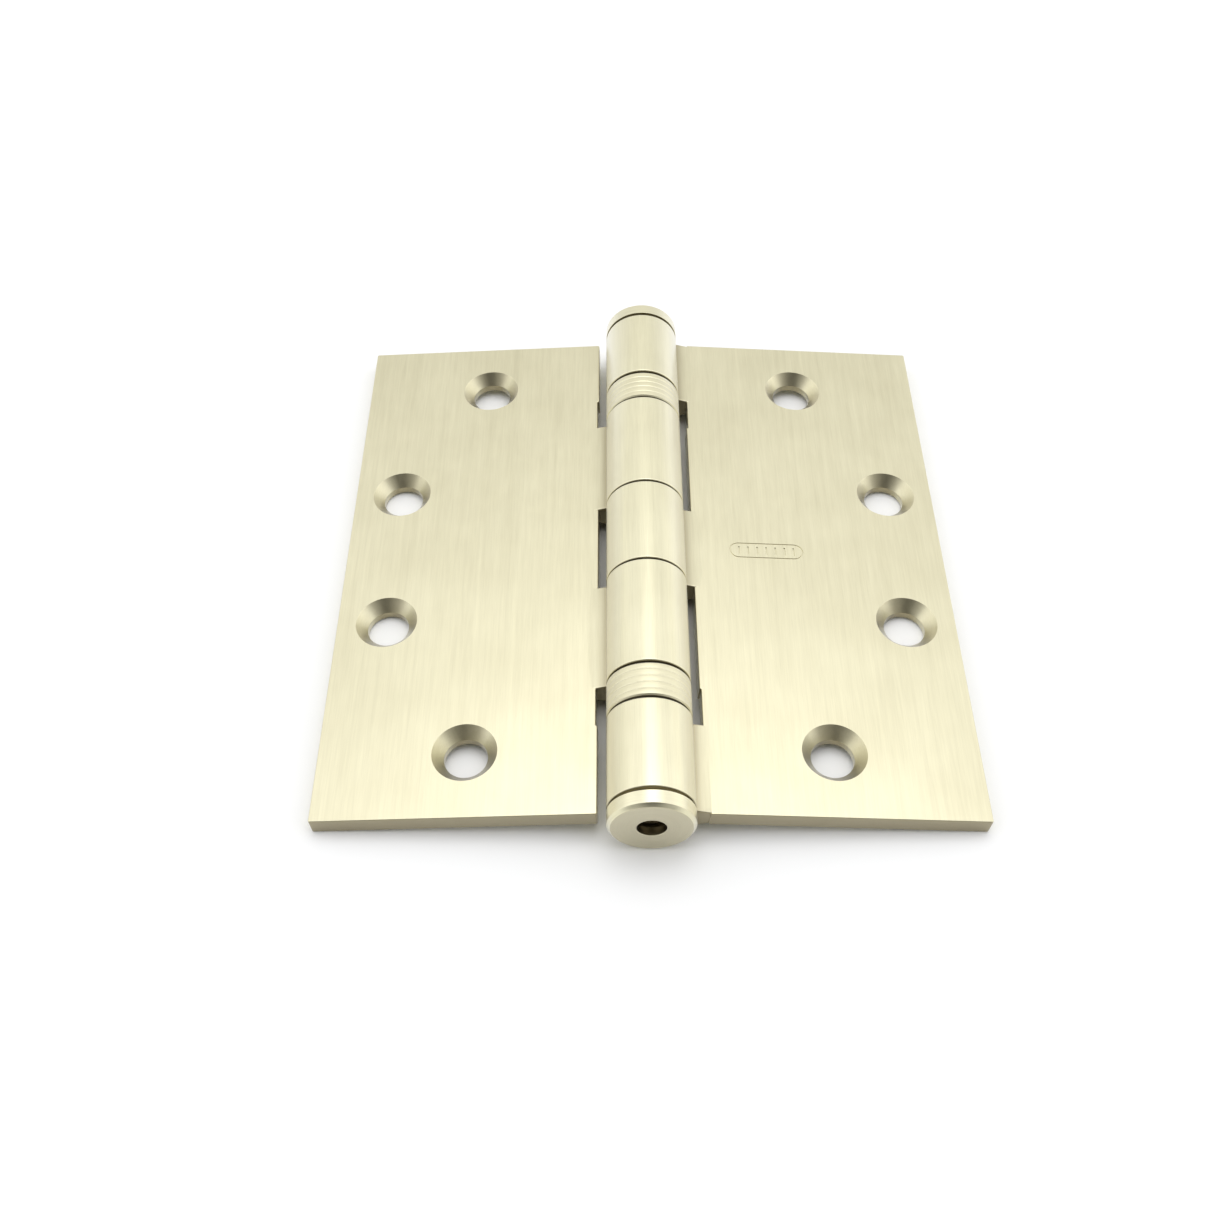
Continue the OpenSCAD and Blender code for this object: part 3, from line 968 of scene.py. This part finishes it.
# The cases get painted shade: their whole tint is darkened to CASE_SHADE.
CASE_NICKEL = turned_nickel("satin_nickel_ringed", 0.1 * MM, CASE_ROUGH, TOOL_MARKS, 3.0,
                            shade=CASE_SHADE)
PIN_TINTS = ((0.2, 0.165, 0.12), (0.42, 0.37, 0.3))
RACE_TINTS = ((0.07, 0.06, 0.05), (0.16, 0.145, 0.12))
BALL_TINTS = ((0.55, 0.56, 0.58), (0.66, 0.67, 0.69))
PIN_STEEL = ground_steel("oiled_pin_steel", *PIN_TINTS, 0.26, 0.15 * MM, 5.0)
RACE_STEEL = ground_steel("ground_race_steel", *RACE_TINTS, 0.3, 0.1 * MM, 6.0)
BALL_STEEL = ground_steel("polished_ball_steel", *BALL_TINTS, 0.1, 0.3 * MM, 7.0)
nickels = [LEAF_NICKEL, CONE_NICKEL, CAP_NICKEL, CASE_NICKEL]
print("finishes:", [material.name for material in nickels + [PIN_STEEL, RACE_STEEL, BALL_STEEL]])

# %% Put the finishes on the pieces
for leaf in (frame_leaf, door_leaf):
    leaf.data.materials.clear()
    leaf.data.materials.append(LEAF_NICKEL)
    leaf.data.materials.append(CONE_NICKEL)
turned_pieces = [(plug, CAP_NICKEL), (tip, CAP_NICKEL), (pin, PIN_STEEL)]
turned_pieces += [(upper_case, CASE_NICKEL), (lower_case, CASE_NICKEL)]
for piece, material in turned_pieces:
    piece.data.materials.append(material)

for name, node in frame["nodes"].items():
    if "race" in name or "ball" in name:
        node.material_slots[0].material = RACE_STEEL if "race" in name else BALL_STEEL
print("races and balls keep their working shapes and get new finishes")

# %% [markdown]
# ## Floor, light and camera
# The hinge lies on a wide white floor in a bright tent of light. The tent is brightest overhead and at
# its two sides, dimmer on its far wall, and darkest round the camera. That gradient is what makes the
# leaves fade from bright to soft, and it draws the dark edges in the countersinks.

# %% The floor
FLOOR_HALF = 20.0
FLOOR_DROP = 0.02 * MM
floor_mesh = bpy.data.meshes.new("floor")
corner_signs = ((-1, -1), (1, -1), (1, 1), (-1, 1))
floor_corners = [(x * FLOOR_HALF, y * FLOOR_HALF, -FLOOR_DROP) for x, y in corner_signs]
floor_mesh.from_pydata(floor_corners, [], [(0, 1, 2, 3)])
floor = bpy.data.objects.new("floor", floor_mesh)
bpy.context.scene.collection.objects.link(floor)
floor_paint, floor_tree, floor_shader = start_material("white_floor")
floor_shader.inputs["Base Color"].default_value = (0.95, 0.95, 0.92, 1.0)
floor_shader.inputs["Roughness"].default_value = 0.9
floor_shader.inputs["Specular IOR Level"].default_value = 0.1
floor_mesh.materials.append(floor_paint)
print("floor", 2 * FLOOR_HALF, "m wide")

# %% The tent of light
def lobe(tree, direction, towards, low, high):
    """How much a direction lies towards another, as 0 to 1 between two cosines."""
    facing = add(tree, "VectorMath", operation="DOT_PRODUCT")
    tree.links.new(direction, facing.inputs[0])
    facing.inputs[1].default_value = Vector(towards).normalized()
    ends = {"Value": facing.outputs["Value"], "From Min": low, "From Max": high}
    return add(tree, "MapRange", ends, interpolation_type="SMOOTHSTEP").outputs["Result"]


ROOF_LIGHT = (1.36, 1.37, 1.46)
FAR_LIGHT = (0.86, 0.86, 0.86)
RIGHT_LIGHT = (1.48, 1.48, 1.52)
LEFT_LIGHT = (1.45, 1.45, 1.49)
LOW_LEFT_LIGHT = (0.9, 0.9, 0.9)
CAMERA_SIDE_LIGHT = (0.48, 0.48, 0.48)
CAMERA_SHADOW = (0.05, 0.05, 0.05)

world = bpy.data.worlds.new("light_tent")
world.use_nodes = True
bpy.context.scene.world = world
sky = world.node_tree
direction = add(sky, "TexCoord").outputs["Generated"]
far_wall = lobe(sky, direction, (0.0, 1.0, 0.0), 0.3, 0.8)
behind_camera = lobe(sky, direction, (0.0, -1.0, 0.35), 0.35, 0.75)
camera_patch = lobe(sky, direction, (0.0, -0.72, 0.69), 0.87, 0.98)
from_right = lobe(sky, direction, (1.0, 0.15, 0.1), 0.68, 0.98)
from_left = lobe(sky, direction, (-1.0, 0.15, 0.4), 0.75, 1.0)
low_left = lobe(sky, direction, (-1.0, 0.3, -0.1), 0.8, 1.0)
tent = mix_tint(sky, far_wall, ROOF_LIGHT, FAR_LIGHT)
patches = ((from_right, RIGHT_LIGHT), (from_left, LEFT_LIGHT), (low_left, LOW_LEFT_LIGHT))
patches += ((behind_camera, CAMERA_SIDE_LIGHT), (camera_patch, CAMERA_SHADOW))
for share, light in patches:
    tent = mix_tint(sky, share, tent, light)
sky.links.new(tent, sky.nodes["Background"].inputs["Color"])

print("tent of light ready")

# %% The softbox
SOFTBOX_WIDTH = 0.5
SOFTBOX_WATTS = 1.2
SOFTBOX_PLACE = (0.03, 0.15, 0.8)

lamp = bpy.data.lights.new("softbox", "AREA")
lamp.size = SOFTBOX_WIDTH
lamp.energy = SOFTBOX_WATTS
softbox = bpy.data.objects.new("softbox", lamp)
bpy.context.scene.collection.objects.link(softbox)
softbox.location = SOFTBOX_PLACE
softbox.rotation_euler = (-softbox.location).to_track_quat("-Z", "Y").to_euler()
print("softbox", round(softbox.location.length, 2), "m from the hinge")

# %% The camera
LENS_MM = 40.816
SENSOR_MM = 36.0
CAMERA_PLACE = (-0.007235, -0.1689, 0.20578)
CAMERA_TILT = math.radians(37.79)
CAMERA_TURN = math.radians(0.02)

lens = bpy.data.cameras.new("camera")
lens.lens = LENS_MM
lens.sensor_width = SENSOR_MM
camera = bpy.data.objects.new("camera", lens)
bpy.context.scene.collection.objects.link(camera)
camera.location = CAMERA_PLACE
camera.rotation_euler = (CAMERA_TILT, 0, CAMERA_TURN)
bpy.context.scene.camera = camera
bpy.context.scene.view_settings.view_transform = "Standard"
print("camera tilted", round(math.degrees(CAMERA_TILT), 1), "degrees up from straight down")
